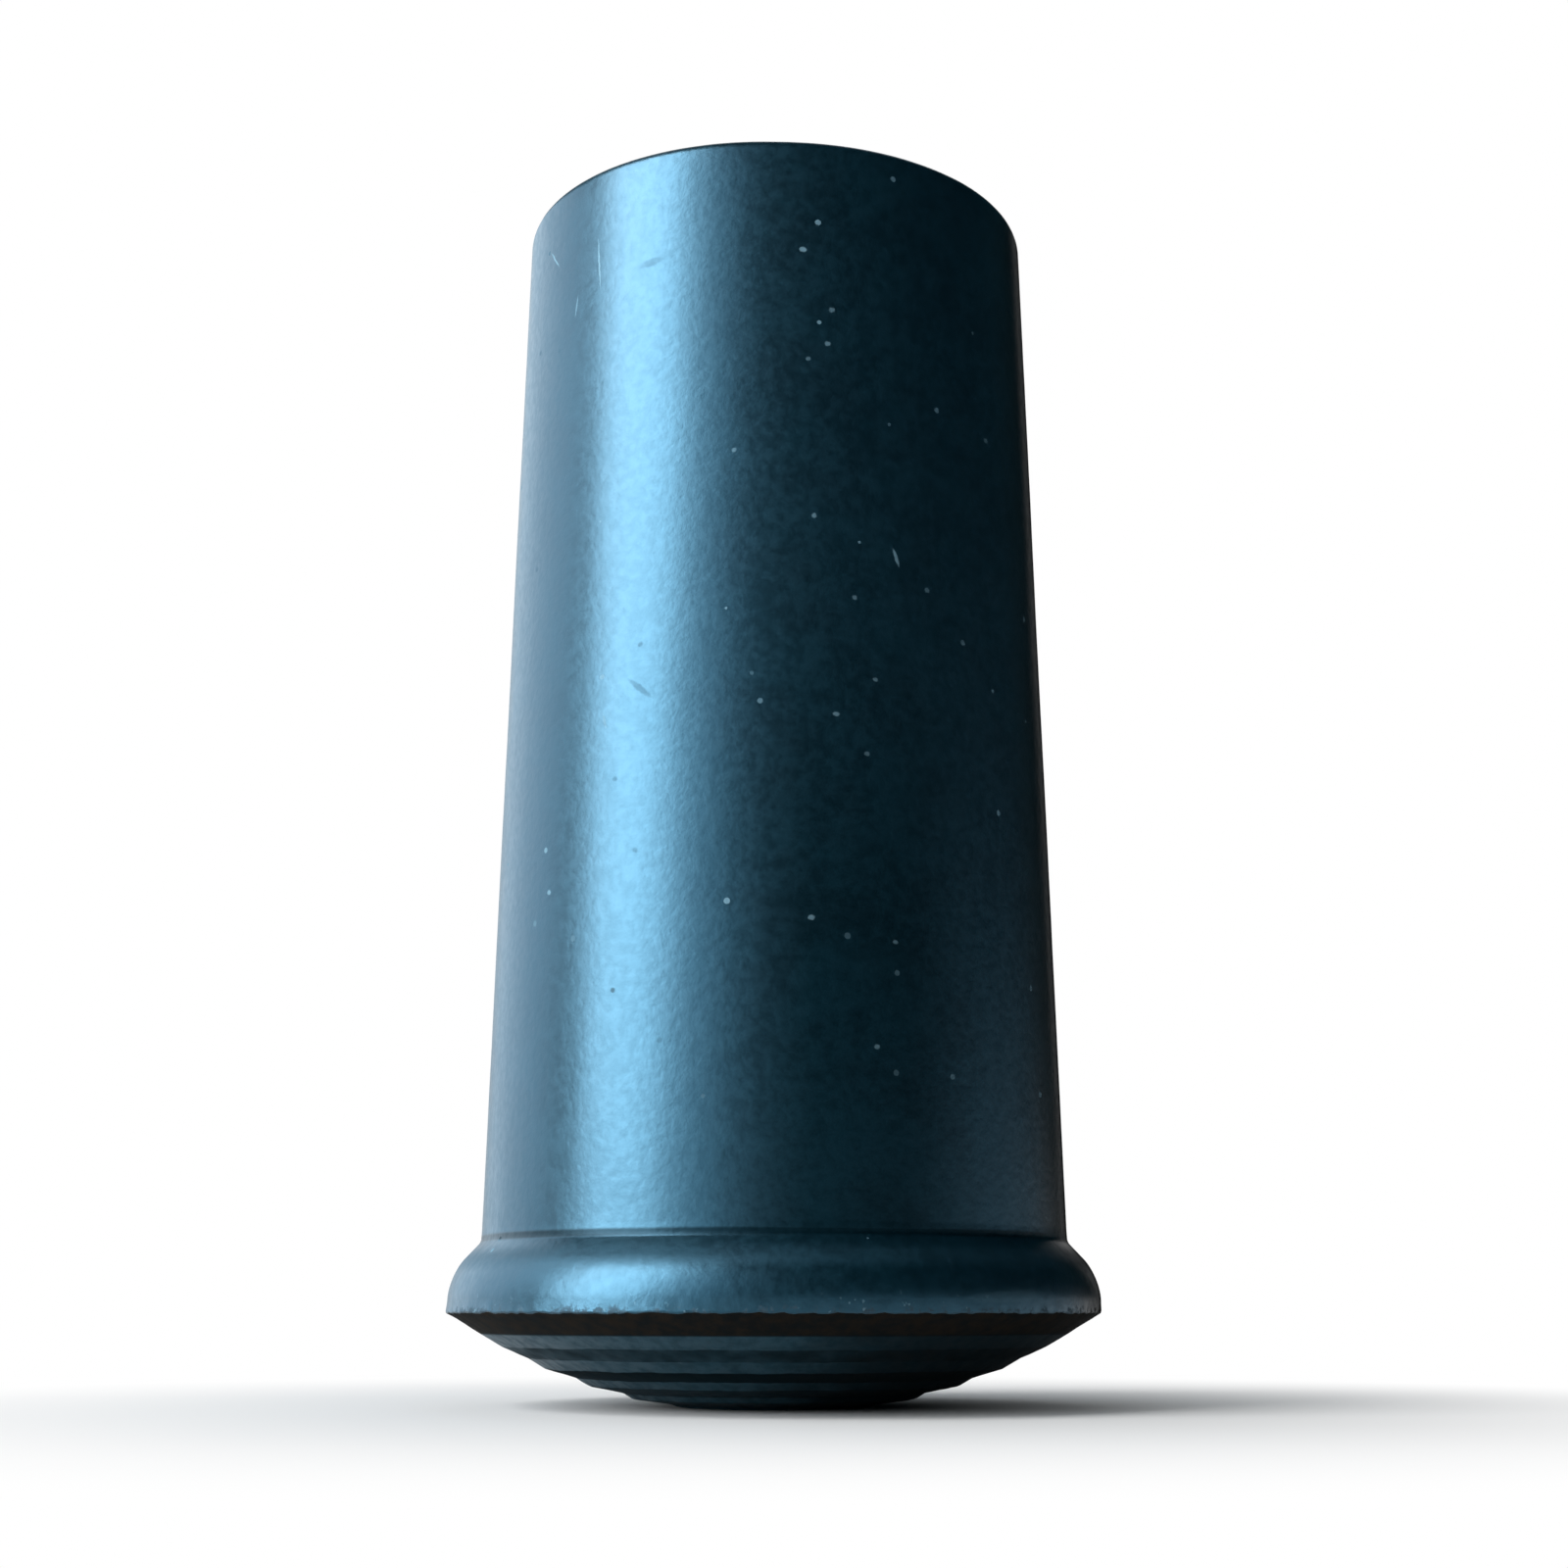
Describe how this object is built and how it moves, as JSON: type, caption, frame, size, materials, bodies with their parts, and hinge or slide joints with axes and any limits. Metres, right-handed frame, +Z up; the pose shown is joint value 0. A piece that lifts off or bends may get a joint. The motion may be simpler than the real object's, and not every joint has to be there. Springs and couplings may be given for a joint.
{
  "type": "rubber cane tip",
  "caption": "Black rubber cane tip: tapered blind socket on a bulged flange, with a domed tread of concentric stepped rings.",
  "frame": {"origin": "centre of the flat sole, on the floor that the tip stands on", "axes": "+Z up along the cane's axis, out of the socket's mouth; the tip is the same all round, so X and Y are free"},
  "size_m": [0.03, 0.03, 0.0571],
  "materials": {
    "rubber": "moulded black rubber with a blue-grey bloom, satin, lightly scuffed and dusty"
  },
  "bodies": {
    "root": {"cane_tip": "rubber"}
  },
  "joints": []
}
